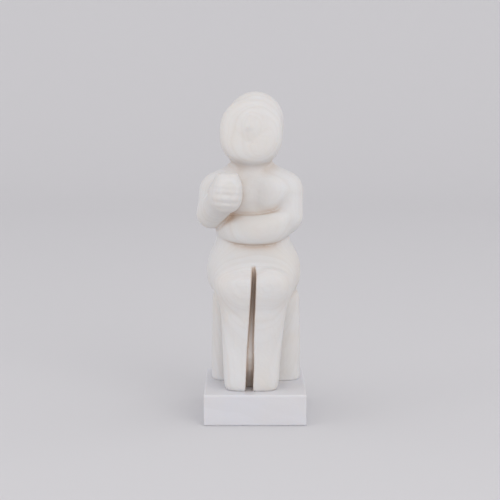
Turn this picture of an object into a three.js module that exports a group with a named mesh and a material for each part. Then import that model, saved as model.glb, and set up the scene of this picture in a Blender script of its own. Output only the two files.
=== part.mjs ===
/**
 * Seated cup-bearer figurine of the Early Cycladic kind, with its plinth.
 *
 * The figure, its arms, the cup in its right hand, its legs and the stool behind them are carved
 * from one block of marble, so they are one solid. The plinth is a second, separate block.
 *
 * Frame: millimetres, +Z up, origin at the centre of the plinth's underside, the figure faces -Y.
 * "left" and "right" in the names are the figure's own.
 *
 * The carved block is described by a distance field: a function that is negative inside the stone
 * and positive outside. Its forms are lofts, ellipsoids and round-ended cones, joined with soft
 * fillets, and the field is then meshed into flat facets.
 */
import * as THREE from 'three';

// ---------------------------------------------------------------- driving dimensions (mm)

const PLINTH = { width: 52, depth: 60, height: 16, edge: 0.8 };

// The block stands a little to the figure's right of the plinth's middle.
const FIGURE_OFFSET_X = -1.5;

// Horizontal sections of a form: [height, centre x, centre y, half width x, half depth y].
const STOOL = {
  squareness: 3.4,
  topRound: 7,
  sections: [
    [-1, 2.1, 12.2, 23.2, 12.6],
    [8, 2.1, 12.2, 23.3, 12.7],
    [30, 2.1, 12.0, 23.1, 12.5],
    [49, 2.0, 11.5, 22.6, 12.0],
  ],
};
const SHINS = {
  squareness: 2.9,
  footRound: 4,
  topRound: 6,
  sections: [
    [-1.2, -0.4, -15.0, 13.4, 8.2],
    [5, -0.35, -14.9, 14.1, 8.2],
    [12, -0.25, -14.3, 14.5, 7.9],
    [22, 0.0, -13.6, 15.2, 7.5],
    [36, 0.5, -13.4, 16.3, 7.9],
    [46, 0.7, -13.2, 17.6, 8.6],
    [58, 0.7, -12.5, 19.2, 9.5],
  ],
};
const TORSO = {
  squareness: 2.35,
  hipRound: 6,
  topRound: 9,
  sections: [
    [56, 0.7, 7.2, 20.7, 14.0],
    [66, 0.4, 6.8, 19.9, 13.0],
    [74, 0.4, 6.4, 18.9, 12.0],
    [86, 0.2, 6.0, 19.3, 11.2],
    [98, -0.2, 6.0, 19.6, 11.0],
    [105, 0.1, 6.2, 18.3, 10.2],
    [111, 0.2, 6.8, 14.2, 9.3],
  ],
};
// Upright sections of the hips and thighs, from the knees back:
// [y, centre x, centre height, half width, half height].
const SEAT = {
  squareness: 2.5,
  kneeRound: 10,
  sections: [
    [-22.2, 0.6, 53.4, 17.9, 9.2],
    [-16, 0.6, 53.7, 19.1, 11.0],
    [-8, 0.8, 55.5, 21.4, 13.2],
    [0, 0.9, 56.7, 23.1, 15.4],
    [8, 1.0, 57.2, 23.9, 17.0],
    [16, 1.0, 57.9, 22.9, 16.9],
    [25, 1.0, 58.5, 20.5, 15.0],
  ],
  knees: [
    { centre: [-5.6, -19.6, 50.6], radii: [6.4, 3.1, 7] },
    { centre: [9.8, -19.2, 54.4], radii: [7.6, 3.1, 8] },
  ],
  backDome: { centre: [1, -10, 59], radii: [42, 34.6, 36], round: 10 },
};
const BREASTS = {
  centres: [[8.7, -2.2, 98.8], [-5.8, -2.2, 98.8]],
  radii: [7, 4.2, 7.6],
};

// Round-ended limbs: two ends and the radius at each end.
const RIGHT_SHOULDER = { from: [-17.0, 5.4, 99.8], to: [-8, 6.4, 103.0], radii: [9.8, 10.4] };
const LEFT_SHOULDER = { from: [16.5, 5.4, 100.2], to: [8, 6.4, 103.2], radii: [9.7, 10.4] };
const NECK = { from: [-0.7, 7, 108], to: [-0.2, 5.6, 121], radii: [10.6, 10.2] };
const LEFT_UPPER_ARM = { from: [17.4, 4.6, 98.4], to: [19.5, 1.8, 86.8], radii: [8.9, 6.9] };
const RIGHT_UPPER_ARM = { from: [-18.4, 4.4, 98.4], to: [-20.9, 0.2, 88.4], radii: [8.9, 7.3] };
const RIGHT_FOREARM = { from: [-20.4, -1.2, 88.8], to: [-14.6, -15, 98.4], radii: [7.5, 7.6] };

// The left forearm lies across the belly as a roll that follows the waist.
// Along x: height of its centre line, half height and half thickness.
const LEFT_FOREARM = {
  waist: { centre: [0.6, 5], radii: [16.2, 11], squareness: 2.2 },
  roundness: 2.3,
  backLimit: 5.5,
  x: [-20, -8, 4, 13, 20],
  height: [81.6, 80.9, 80.8, 82.2, 84.8],
  halfHeight: [5.4, 7.3, 7.8, 8.2, 8.0],
  halfThickness: [3.4, 5.0, 5.6, 6.0, 6.2],
};

// The right fist, closed round a small cup. Valleys part the fingers: height and depth of each.
const FIST = {
  centre: [-12.6, -18.0, 101.2],
  radii: [7.7, 8.3, 9.7],
  squareness: 2.5,
  lean: 4,
  valleys: [[-7.4, 0.5], [-4.4, 0.75], [-0.5, 0.5], [2.5, 0.38], [5.2, 0.3]],
  valleyWidth: 0.9,
};
const CUP = { x: -12.5, y: -17.2, low: 102, high: 107.6, radii: [6.4, 6.1], rim: 110.9, dish: 7.2 };

// The head: a flattened face tipped back and turned a little to the figure's right, with the
// rounder skull standing up behind its sloping upper edge.
const HEAD = {
  centre: [0, 1.5, 132.4],
  tipBack: 15,
  turn: -6,
  face: { centre: [-0.3, -0.2, -2.6], radii: [16.2, 12, 17.2], squareness: 2.3 },
  faceFlat: 8.4,
  browApex: [0.2, -8.4, 15.4],
  browSlope: 46,
  browNormals: [[-0.28, 0.96], [0.74, 0.67]],
  skull: { centre: [0.9, 4.2, 3.6], radii: [15.0, 11.2, 16.0] },
  noseMound: { centre: [-0.6, -7.5, 0.6], radii: [5.2, 2.0, 6.6] },
  nose: { from: [-0.6, -8.3, 4.5], to: [-0.6, -8.7, -1.4], radii: [0.8, 1.5] },
  mouth: { y: -8.9, z: -9, radius: 0.8, stretch: 0.3 },
};

// The slot that parts the legs, open to the front: its left and right walls and its back by height.
const SLOT = {
  top: 64,
  leftWall: [[0, -3.4], [20, -2.55], [42, -1.1], [64, 0.2]],
  rightWall: [[0, 0.4], [12, 0.85], [26, 0.75], [53, 1.8], [60, 1.9], [65, 0.9]],
  back: [[0, -13], [4, -14], [10, -17.4], [17, -18.8], [30, -17.2], [44, -16], [60, -17.2], [65, -16]],
  edgeRound: 1,
};

// Facet sizes: coordinates where the spacing changes, each with the number of cells up to the next.
const GRID = {
  x: [[-30, 10], [-4.6, 5], [2.4, 9], [29.4, 0]],
  y: [[-28.4, 10], [-5.6, 11], [27, 0]],
  z: [[-1.8, 1], [1.8, 23], [90, 7], [107, 4], [113, 14], [152.5, 0]],
};

// A vertex keeps this share of its cell's size clear of the cell's sides.
const CELL_MARGIN = 0.08;

// ---------------------------------------------------------------- small maths

const radians = (degrees) => (degrees * Math.PI) / 180;
const hypot3 = (x, y, z) => Math.sqrt(x * x + y * y + z * z);

/** Lesser of two distances, with a fillet of about `k` where they meet. */
function softMin(a, b, k) {
  const h = Math.max(k - Math.abs(a - b), 0) / k;
  return Math.min(a, b) - h * h * k * 0.25;
}

/** Greater of two distances, with the edge eased over about `k`. */
function softMax(a, b, k) {
  return -softMin(-a, -b, k);
}

/** Straight-line reading of a table of [position, value] pairs. */
function readTable(table, at) {
  if (at <= table[0][0]) return table[0][1];
  for (let i = 1; i < table.length; i += 1) {
    const [low, a] = table[i - 1];
    const [high, b] = table[i];
    if (at <= high) return a + ((b - a) * (at - low)) / (high - low);
  }
  return table[table.length - 1][1];
}

/** Rates of change of `values` at the stations, for a smooth curve through them. */
function slopes(stations, values) {
  return values.map((value, i) => {
    if (i === 0) return (values[1] - value) / (stations[1] - stations[0]);
    if (i === values.length - 1) return (value - values[i - 1]) / (stations[i] - stations[i - 1]);
    const before = stations[i] - stations[i - 1];
    const after = stations[i + 1] - stations[i];
    const back = (value - values[i - 1]) / before;
    const forward = (values[i + 1] - value) / after;
    return (back * after + forward * before) / (before + after);
  });
}

/** Smooth curve through the values at the stations, level beyond its ends. */
function smoothCurve(stations, values) {
  const rates = slopes(stations, values);
  return (at) => {
    const s = Math.min(Math.max(at, stations[0]), stations[stations.length - 1]);
    let i = 0;
    while (i < stations.length - 2 && s > stations[i + 1]) i += 1;
    const span = stations[i + 1] - stations[i];
    const t = (s - stations[i]) / span;
    const t2 = t * t;
    const t3 = t2 * t;
    return (2 * t3 - 3 * t2 + 1) * values[i] + (t3 - 2 * t2 + t) * span * rates[i]
      + (3 * t2 - 2 * t3) * values[i + 1] + (t3 - t2) * span * rates[i + 1];
  };
}

// ---------------------------------------------------------------- forms

/** Ellipse with squared-off corners: distance from (a, b) to the curve of half axes (ha, hb). */
function squaredEllipse(a, b, ha, hb, n) {
  const u = Math.abs(a / ha) + 1e-9;
  const v = Math.abs(b / hb) + 1e-9;
  const k = (u ** n + v ** n) ** (1 / n);
  const steepness = Math.hypot(u ** (n - 1) / ha, v ** (n - 1) / hb) * k ** (1 - n);
  return (k - 1) / Math.max(steepness, 1e-9);
}

function ellipsoid({ centre, radii }) {
  const [cx, cy, cz] = centre;
  const [rx, ry, rz] = radii;
  return (x, y, z) => {
    const dx = x - cx;
    const dy = y - cy;
    const dz = z - cz;
    const k0 = hypot3(dx / rx, dy / ry, dz / rz);
    const k1 = hypot3(dx / (rx * rx), dy / (ry * ry), dz / (rz * rz));
    return (k0 * (k0 - 1)) / Math.max(k1, 1e-9);
  };
}

/** Ellipsoid with fuller, squarer shoulders as `squareness` grows past 2. */
function squaredEllipsoid({ centre, radii, squareness }) {
  const n = squareness;
  return (x, y, z) => {
    const u = Math.abs((x - centre[0]) / radii[0]) + 1e-9;
    const v = Math.abs((y - centre[1]) / radii[1]) + 1e-9;
    const w = Math.abs((z - centre[2]) / radii[2]) + 1e-9;
    const k = (u ** n + v ** n + w ** n) ** (1 / n);
    const steepness = hypot3(
      u ** (n - 1) / radii[0],
      v ** (n - 1) / radii[1],
      w ** (n - 1) / radii[2],
    ) * k ** (1 - n);
    return (k - 1) / Math.max(steepness, 1e-9);
  };
}

/** Cone with ball ends, from `from` to `to`. */
function limb({ from, to, radii }) {
  const [ra, rb] = radii;
  const axis = [to[0] - from[0], to[1] - from[1], to[2] - from[2]];
  const l2 = axis[0] ** 2 + axis[1] ** 2 + axis[2] ** 2;
  const rr = ra - rb;
  const a2 = l2 - rr * rr;
  const il2 = 1 / l2;
  return (x, y, z) => {
    const px = x - from[0];
    const py = y - from[1];
    const pz = z - from[2];
    const along = px * axis[0] + py * axis[1] + pz * axis[2];
    const past = along - l2;
    const x2 = (px * l2 - along * axis[0]) ** 2
      + (py * l2 - along * axis[1]) ** 2
      + (pz * l2 - along * axis[2]) ** 2;
    const y2 = along * along * l2;
    const z2 = past * past * l2;
    const k = Math.sign(rr) * rr * rr * x2;
    if (Math.sign(past) * a2 * z2 > k) return Math.sqrt(x2 + z2) * il2 - rb;
    if (Math.sign(along) * a2 * y2 < k) return Math.sqrt(x2 + y2) * il2 - ra;
    return (Math.sqrt(x2 * a2 * il2) + along * rr) * il2 - ra;
  };
}

/** Squared-ellipse section swept along an axis through a list of sections. */
function loft(sections, squareness) {
  const stations = sections.map((row) => row[0]);
  const curves = [1, 2, 3, 4].map((k) => smoothCurve(stations, sections.map((row) => row[k])));
  const [centreA, centreB, halfA, halfB] = curves;
  return (along, a, b) => {
    const flare = halfA(along + 0.5) - halfA(along - 0.5);
    const d = squaredEllipse(
      a - centreA(along),
      b - centreB(along),
      halfA(along),
      halfB(along),
      squareness,
    );
    return d / Math.sqrt(1 + Math.min(Math.max(flare, -2), 2) ** 2);
  };
}

// ---------------------------------------------------------------- the parts of the carving

function stoolField() {
  const side = loft(STOOL.sections, STOOL.squareness);
  const top = STOOL.sections[STOOL.sections.length - 1][0];
  return (x, y, z) => softMax(side(z, x, y), z - top, STOOL.topRound);
}

function shinsField() {
  const side = loft(SHINS.sections, SHINS.squareness);
  const bottom = SHINS.sections[0][0];
  const top = SHINS.sections[SHINS.sections.length - 1][0];
  return (x, y, z) => {
    const capped = softMax(side(z, x, y), z - top, SHINS.topRound);
    return softMax(capped, bottom - z, SHINS.footRound);
  };
}

function seatField() {
  const side = loft(SEAT.sections, SEAT.squareness);
  const dome = ellipsoid(SEAT.backDome);
  const knees = SEAT.knees.map(ellipsoid);
  return (x, y, z) => {
    const thighs = softMax(side(y, x, z), SEAT.sections[0][0] - y, SEAT.kneeRound);
    const rounded = softMax(thighs, dome(x, y, z), SEAT.backDome.round);
    return knees.reduce((d, knee) => softMin(d, knee(x, y, z), 3), rounded);
  };
}

function torsoField() {
  const side = loft(TORSO.sections, TORSO.squareness);
  const bottom = TORSO.sections[0][0];
  const top = TORSO.sections[TORSO.sections.length - 1][0];
  const breasts = BREASTS.centres.map((centre) => ellipsoid({ centre, radii: BREASTS.radii }));
  return (x, y, z) => {
    const capped = softMax(side(z, x, y), z - top, TORSO.topRound);
    const trunk = softMax(capped, bottom - z, TORSO.hipRound);
    return breasts.reduce((d, breast) => softMin(d, breast(x, y, z), 4), trunk);
  };
}

/** The left forearm: a roll swept round the waist, thinning toward the hand at the right. */
function leftForearmField() {
  const { waist, roundness, backLimit } = LEFT_FOREARM;
  const centreHeight = smoothCurve(LEFT_FOREARM.x, LEFT_FOREARM.height);
  const halfHeight = smoothCurve(LEFT_FOREARM.x, LEFT_FOREARM.halfHeight);
  const halfThickness = smoothCurve(LEFT_FOREARM.x, LEFT_FOREARM.halfThickness);
  return (x, y, z) => {
    const fromWaist = squaredEllipse(
      x - waist.centre[0],
      y - waist.centre[1],
      waist.radii[0],
      waist.radii[1],
      waist.squareness,
    );
    const roll = squaredEllipse(
      fromWaist,
      z - centreHeight(x),
      halfThickness(x),
      halfHeight(x),
      roundness,
    );
    return softMax(roll, y - backLimit, 4);
  };
}

/** The right fist with its four fingers parted by shallow valleys, and the cup it holds. */
function fistField() {
  const block = squaredEllipsoid({ centre: [0, 0, 0], radii: FIST.radii, squareness: FIST.squareness });
  const cup = limb({
    from: [CUP.x, CUP.y, CUP.low],
    to: [CUP.x, CUP.y, CUP.high],
    radii: CUP.radii,
  });
  const cos = Math.cos(radians(FIST.lean));
  const sin = Math.sin(radians(FIST.lean));
  return (x, y, z) => {
    const dx = x - FIST.centre[0];
    const dy = y - FIST.centre[1];
    const dz = z - FIST.centre[2];
    const across = cos * dx - sin * dz;
    const up = sin * dx + cos * dz;
    const bearing = Math.atan2(across, -dy);
    const front = Math.max(1 - Math.abs(bearing + 0.1) / 1.35, 0) ** 0.7;
    const valley = FIST.valleys.reduce(
      (sum, [height, depth]) => sum + depth * Math.exp(-(((up - height) / FIST.valleyWidth) ** 2)),
      0,
    );
    const hand = block(across, dy, up) + valley * front;
    const rimmed = softMax(cup(x, y, z), z - CUP.rim, 0.8);
    const bowl = hypot3(x - CUP.x, y - CUP.y, z - CUP.rim - CUP.dish + 1.5) - CUP.dish;
    return softMin(hand, softMax(rimmed, -bowl, 0.5), 0.8);
  };
}

/** Axes of the head's own frame: columns of a turn about Z after a tip about X. */
function headAxes() {
  const turn = new THREE.Matrix4().makeRotationZ(radians(HEAD.turn));
  const tip = new THREE.Matrix4().makeRotationX(radians(-HEAD.tipBack));
  const m = turn.multiply(tip).elements;
  return [[m[0], m[1], m[2]], [m[4], m[5], m[6]], [m[8], m[9], m[10]]];
}

function headField() {
  const axes = headAxes();
  const faceEgg = squaredEllipsoid(HEAD.face);
  const skull = ellipsoid(HEAD.skull);
  const mound = ellipsoid(HEAD.noseMound);
  const nose = limb(HEAD.nose);
  const slope = radians(HEAD.browSlope);
  const [apexX, apexY, apexZ] = HEAD.browApex;
  const brows = HEAD.browNormals.map(([nx, nz]) => {
    const length = Math.hypot(nx, nz);
    return [(nx / length) * Math.cos(slope), -Math.sin(slope), (nz / length) * Math.cos(slope)];
  });
  return (x, y, z) => {
    const dx = x - HEAD.centre[0];
    const dy = y - HEAD.centre[1];
    const dz = z - HEAD.centre[2];
    const [u, v, w] = axes.map((axis) => dx * axis[0] + dy * axis[1] + dz * axis[2]);
    const flatFace = softMax(faceEgg(u, v, w), -v - HEAD.faceFlat, 5);
    const [left, right] = brows.map(
      ([nx, ny, nz]) => (u - apexX) * nx + (v - apexY) * ny + (w - apexZ) * nz,
    );
    const face = softMax(flatFace, softMax(left, right, 0.8), 1.4);
    const head = softMin(face, skull(u, v, w), 1);
    const raised = softMin(softMin(head, mound(u, v, w), 2.4), nose(u, v, w), 1.8);
    const mouth = hypot3(u * HEAD.mouth.stretch, v - HEAD.mouth.y, w - HEAD.mouth.z);
    return softMax(raised, HEAD.mouth.radius - mouth, 0.8);
  };
}

function slotField() {
  return (x, y, z) => {
    const left = readTable(SLOT.leftWall, z);
    const right = readTable(SLOT.rightWall, z);
    const across = Math.abs(x - (left + right) / 2) - (right - left) / 2;
    return Math.max(across, y - readTable(SLOT.back, z), z - SLOT.top);
  };
}

/** The whole carved block, in its own frame: the sole at z = 0, open below it. */
function carvingField() {
  const seat = seatField();
  const shins = shinsField();
  const stool = stoolField();
  const torso = torsoField();
  const rightShoulder = limb(RIGHT_SHOULDER);
  const leftShoulder = limb(LEFT_SHOULDER);
  const neck = limb(NECK);
  const leftUpperArm = limb(LEFT_UPPER_ARM);
  const leftForearm = leftForearmField();
  const rightUpperArm = limb(RIGHT_UPPER_ARM);
  const rightForearm = limb(RIGHT_FOREARM);
  const head = headField();
  const fist = fistField();
  const slot = slotField();
  return (x, y, z) => {
    const shoulders = softMin(rightShoulder(x, y, z), leftShoulder(x, y, z), 6);
    const leftArm = softMin(leftUpperArm(x, y, z), leftForearm(x, y, z), 4);
    const elbow = softMin(rightUpperArm(x, y, z), rightForearm(x, y, z), 2);
    const rightArm = softMin(elbow, fist(x, y, z), 4);
    let d = softMin(seat(x, y, z), shins(x, y, z), 5);
    d = softMin(d, stool(x, y, z), 1.2);
    d = softMin(d, torso(x, y, z), 7);
    d = softMin(d, shoulders, 4);
    d = softMin(d, neck(x, y, z), 4);
    d = softMin(d, leftArm, 1);
    d = softMin(d, rightArm, 1.5);
    d = softMin(d, head(x, y, z), 3);
    return softMax(d, -slot(x, y, z), SLOT.edgeRound);
  };
}

// ---------------------------------------------------------------- meshing

/** Coordinates of the grid planes from [start, cells to the next start] pairs. */
function gridPlanes(bands) {
  const planes = [];
  for (let i = 0; i < bands.length - 1; i += 1) {
    const [start, cells] = bands[i];
    const end = bands[i + 1][0];
    for (let c = 0; c < cells; c += 1) planes.push(start + ((end - start) * c) / cells);
  }
  planes.push(bands[bands.length - 1][0]);
  return planes;
}

/** Gradient of a field by central differences. */
function gradient(field, [x, y, z]) {
  const e = 0.05;
  return [
    (field(x + e, y, z) - field(x - e, y, z)) / (2 * e),
    (field(x, y + e, z) - field(x, y - e, z)) / (2 * e),
    (field(x, y, z + e) - field(x, y, z - e)) / (2 * e),
  ];
}

/** Moves a point onto the field's surface, inside the box from `low` to `high`. */
function settle(field, start, low, high) {
  const point = [...start];
  for (let step = 0; step < 5; step += 1) {
    const d = field(...point);
    const g = gradient(field, point).map((value, axis) => (low[axis] < high[axis] ? value : 0));
    const g2 = g[0] ** 2 + g[1] ** 2 + g[2] ** 2;
    if (g2 < 1e-4) break;
    for (let axis = 0; axis < 3; axis += 1) {
      const moved = point[axis] - (d * g[axis]) / g2;
      point[axis] = Math.min(Math.max(moved, low[axis]), high[axis]);
    }
  }
  return point;
}

// Corners of a cell are numbered by bits: 1 for high x, 2 for high y, 4 for high z.
// Each face of the cell lists its corners in order round it.
const CELL_FACES = [
  [0, 2, 6, 4],
  [1, 3, 7, 5],
  [0, 1, 5, 4],
  [2, 3, 7, 6],
  [0, 1, 3, 2],
  [4, 5, 7, 6],
];

/** Number of the cell's edge between two of its corners. */
function edgeNumber(a, b) {
  return Math.min(a, b) * 3 + Math.log2(a ^ b);
}

/**
 * Sorts the edges that the surface crosses into separate sheets of surface: gives the sheet's
 * number for each edge of a cell whose corners are inside the stone or not.
 */
function cellSheets(inside) {
  const sheet = new Array(24).fill(0).map((_, edge) => edge);
  for (const face of CELL_FACES) {
    for (let p = 0; p < 4; p += 1) {
      const before = face[(p + 3) % 4];
      if (!inside[face[p]] || inside[before]) continue;
      let q = p;
      while (inside[face[(q + 1) % 4]]) q += 1;
      const first = sheet[edgeNumber(before, face[p])];
      const last = sheet[edgeNumber(face[q % 4], face[(q + 1) % 4])];
      for (let edge = 0; edge < 24; edge += 1) {
        if (sheet[edge] === last) sheet[edge] = first;
      }
    }
  }
  return sheet;
}

/**
 * Meshes the field as a closed shell standing on a flat sole at z = 0: one vertex for each sheet
 * of surface in a cell, and one four-sided facet across every grid edge that the surface cuts.
 */
function meshField(field, grid) {
  const planes = [gridPlanes(grid.x), gridPlanes(grid.y), gridPlanes(grid.z)];
  const [nx, ny, nz] = planes.map((list) => list.length);
  const nodeIndex = (i, j, k) => (k * ny + j) * nx + i;
  const values = new Float64Array(nx * ny * nz);
  for (let k = 0; k < nz; k += 1) {
    for (let j = 0; j < ny; j += 1) {
      for (let i = 0; i < nx; i += 1) {
        const z = planes[2][k];
        values[nodeIndex(i, j, k)] = z < 0 ? 1 : field(planes[0][i], planes[1][j], z);
      }
    }
  }

  const positions = [];
  /** Sets the mean of a sheet's crossings onto the surface, within its cell. */
  function addVertex(cell, mean) {
    const low = [];
    const high = [];
    cell.forEach((at, axis) => {
      const margin = CELL_MARGIN * (planes[axis][at + 1] - planes[axis][at]);
      low.push(planes[axis][at] + margin);
      high.push(planes[axis][at + 1] - margin);
    });
    const start = [...mean];
    if (cell[2] === 0) {
      start[2] = 0;
      low[2] = 0;
      high[2] = 0;
    }
    const onSole = cell[2] === 0 && field(...start) < low[0] - high[0];
    positions.push(...(onSole ? start : settle(field, start, low, high)));
    return positions.length / 3 - 1;
  }

  const verticesOf = new Map();
  /** Vertices of one cell, by edge number: edges of the same sheet share one vertex. */
  function cellVertices(cell) {
    const key = nodeIndex(...cell);
    if (verticesOf.has(key)) return verticesOf.get(key);
    const corner = (c) => [cell[0] + (c & 1), cell[1] + ((c >> 1) & 1), cell[2] + (c >> 2)];
    const depth = [0, 1, 2, 3, 4, 5, 6, 7].map((c) => values[nodeIndex(...corner(c))]);
    const sheet = cellSheets(depth.map((d) => d < 0));
    const sums = new Map();
    for (let c = 0; c < 8; c += 1) {
      for (let axis = 0; axis < 3; axis += 1) {
        const other = c | (1 << axis);
        if (other === c || depth[c] < 0 === depth[other] < 0) continue;
        const t = depth[c] / (depth[c] - depth[other]);
        const id = sheet[edgeNumber(c, other)];
        const sum = sums.get(id) ?? { total: [0, 0, 0], count: 0 };
        corner(c).forEach((at, k) => {
          sum.total[k] += planes[k][at] * (1 - t) + planes[k][corner(other)[k]] * t;
        });
        sum.count += 1;
        sums.set(id, sum);
      }
    }
    const vertexOfSheet = new Map();
    for (const [id, { total, count }] of sums) {
      vertexOfSheet.set(id, addVertex(cell, total.map((value) => value / count)));
    }
    const vertices = sheet.map((id) => vertexOfSheet.get(id));
    verticesOf.set(key, vertices);
    return vertices;
  }

  const triangles = [];
  const separation = (a, b) => hypot3(
    positions[3 * a] - positions[3 * b],
    positions[3 * a + 1] - positions[3 * b + 1],
    positions[3 * a + 2] - positions[3 * b + 2],
  );
  /** Two triangles for a four-sided facet, split along its shorter diagonal. */
  function addFacet(a, b, c, d) {
    if (separation(a, c) <= separation(b, d)) triangles.push(a, b, c, a, c, d);
    else triangles.push(a, b, d, b, c, d);
  }
  for (let k = 0; k < nz - 1; k += 1) {
    for (let j = 0; j < ny - 1; j += 1) {
      for (let i = 0; i < nx - 1; i += 1) {
        for (let axis = 0; axis < 3; axis += 1) {
          const second = (axis + 1) % 3;
          const third = (axis + 2) % 3;
          const at = [i, j, k];
          if (at[second] === 0 || at[third] === 0) continue;
          const next = [...at];
          next[axis] += 1;
          const inside = values[nodeIndex(...at)] < 0;
          if (inside === values[nodeIndex(...next)] < 0) continue;
          const corners = [[-1, -1], [0, -1], [0, 0], [-1, 0]].map(([s, t]) => {
            const cell = [...at];
            cell[second] += s;
            cell[third] += t;
            const low = (s < 0 ? 1 << second : 0) | (t < 0 ? 1 << third : 0);
            return cellVertices(cell)[edgeNumber(low, low | (1 << axis))];
          });
          if (inside) addFacet(...corners);
          else addFacet(...corners.reverse());
        }
      }
    }
  }

  const geometry = new THREE.BufferGeometry();
  geometry.setAttribute('position', new THREE.Float32BufferAttribute(positions, 3));
  geometry.setIndex(triangles);
  geometry.computeVertexNormals();
  return geometry;
}

/** Rectangular block with all its edges bevelled, standing on z = 0. */
function plinthGeometry({ width, depth, height, edge }) {
  const outline = new THREE.Shape();
  const x = width / 2 - edge;
  const y = depth / 2 - edge;
  outline.moveTo(-x, -y);
  outline.lineTo(x, -y);
  outline.lineTo(x, y);
  outline.lineTo(-x, y);
  outline.closePath();
  const geometry = new THREE.ExtrudeGeometry(outline, {
    depth: height - 2 * edge,
    bevelEnabled: true,
    bevelThickness: edge,
    bevelSize: edge,
    bevelSegments: 2,
  });
  geometry.translate(0, 0, edge);
  return geometry;
}

// ---------------------------------------------------------------- the object

const figureMarble = new THREE.MeshStandardMaterial({
  color: 0xe3ddd6,
  roughness: 0.55,
  metalness: 0,
});
const plinthMarble = new THREE.MeshStandardMaterial({
  color: 0xdfdfe2,
  roughness: 0.5,
  metalness: 0,
});

const figurine = new THREE.Group();

const plinth = new THREE.Mesh(plinthGeometry(PLINTH), plinthMarble);
plinth.name = 'plinth';
figurine.add(plinth);

const seatedFigure = new THREE.Mesh(meshField(carvingField(), GRID), figureMarble);
seatedFigure.name = 'seated_figure';
seatedFigure.position.set(FIGURE_OFFSET_X, 0, PLINTH.height);
figurine.add(seatedFigure);

export default figurine;
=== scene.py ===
"""Seated cup-bearer figurine in white marble, standing on its separate plinth.

The carved block is described by a distance field, negative inside the stone and positive outside,
built from lofts, ellipsoids and round-ended limbs joined with soft fillets. The field is meshed
finely and dressed as layered white marble. The plinth is a rounded block made by Geometry Nodes.

The carving's own frame is in millimetres with its sole at z = 0. Everything that is handed to
Blender is in metres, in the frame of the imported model: +Z up, the figure faces -Y.
"""

from __future__ import annotations

import logging
import math
from dataclasses import dataclass, field
from enum import Enum
from typing import Callable, Sequence

import bpy
import numpy as np
from mathutils import Matrix, Vector

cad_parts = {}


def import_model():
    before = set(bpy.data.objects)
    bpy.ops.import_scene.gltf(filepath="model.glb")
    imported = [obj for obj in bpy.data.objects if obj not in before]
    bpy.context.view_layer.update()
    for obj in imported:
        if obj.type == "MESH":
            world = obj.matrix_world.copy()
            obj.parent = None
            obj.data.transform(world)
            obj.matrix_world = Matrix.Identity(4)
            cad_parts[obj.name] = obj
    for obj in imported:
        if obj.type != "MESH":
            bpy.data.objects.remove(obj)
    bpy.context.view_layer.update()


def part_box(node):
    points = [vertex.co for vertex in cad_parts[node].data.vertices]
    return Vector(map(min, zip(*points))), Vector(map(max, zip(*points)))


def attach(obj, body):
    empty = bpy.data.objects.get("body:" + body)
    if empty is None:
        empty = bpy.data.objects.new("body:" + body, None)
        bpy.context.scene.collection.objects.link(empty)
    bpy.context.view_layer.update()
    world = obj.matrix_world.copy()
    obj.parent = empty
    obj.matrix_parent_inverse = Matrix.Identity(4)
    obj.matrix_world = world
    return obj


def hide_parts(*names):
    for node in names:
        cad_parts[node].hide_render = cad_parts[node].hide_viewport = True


LOG = logging.getLogger("figurine")

Points = np.ndarray
Distances = np.ndarray
Point = tuple[float, float, float]
Colour = tuple[float, float, float]

MILLIMETRE = 0.001


# --------------------------------------------------------------------------- small maths


def soft_min(a: Distances, b: Distances, k: float) -> Distances:
    """Joins two forms with a fillet of about ``k``.

    Args:
        a: Distances to the first form.
        b: Distances to the second form.
        k: Width of the fillet in millimetres.

    Returns:
        Distances to the joined form.
    """
    h = np.maximum(k - np.abs(a - b), 0.0) / k
    return np.minimum(a, b) - h * h * k * 0.25


def soft_max(a: Distances, b: Distances, k: float) -> Distances:
    """Keeps what two forms share, with the edge between them eased over about ``k``.

    Args:
        a: Distances to the first form.
        b: Distances to the second form.
        k: Width of the eased edge in millimetres.

    Returns:
        Distances to the shared form.
    """
    return -soft_min(-a, -b, k)


def squared_ellipse(
    a: Distances, b: Distances, half_a: Distances, half_b: Distances, squareness: float
) -> Distances:
    """Distance to an ellipse whose corners are squared off.

    Args:
        a: Offsets along the first axis.
        b: Offsets along the second axis.
        half_a: Half size along the first axis.
        half_b: Half size along the second axis.
        squareness: 2 for a true ellipse, more for a squarer one.

    Returns:
        Distances, negative inside.
    """
    n = squareness
    u = np.abs(a / half_a) + 1e-9
    v = np.abs(b / half_b) + 1e-9
    k = (u**n + v**n) ** (1.0 / n)
    steepness = np.hypot(u ** (n - 1) / half_a, v ** (n - 1) / half_b) * k ** (1.0 - n)
    return (k - 1.0) / np.maximum(steepness, 1e-9)


@dataclass(frozen=True)
class SmoothCurve:
    """Smooth curve through values given at stations, level beyond its ends."""

    stations: tuple[float, ...]
    values: tuple[float, ...]

    def at(self, where: Distances) -> Distances:
        """Reads the curve.

        Args:
            where: Positions along the stations' axis.

        Returns:
            The curve's value at each position.
        """
        s = np.asarray(self.stations, float)
        v = np.asarray(self.values, float)
        rates = np.gradient(v, s)
        clamped = np.clip(where, s[0], s[-1])
        i = np.clip(np.searchsorted(s, clamped) - 1, 0, len(s) - 2)
        span = s[i + 1] - s[i]
        t = (clamped - s[i]) / span
        t2, t3 = t * t, t * t * t
        start = (2 * t3 - 3 * t2 + 1) * v[i] + (t3 - 2 * t2 + t) * span * rates[i]
        end = (3 * t2 - 2 * t3) * v[i + 1] + (t3 - t2) * span * rates[i + 1]
        return start + end


# --------------------------------------------------------------------------- forms


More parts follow.
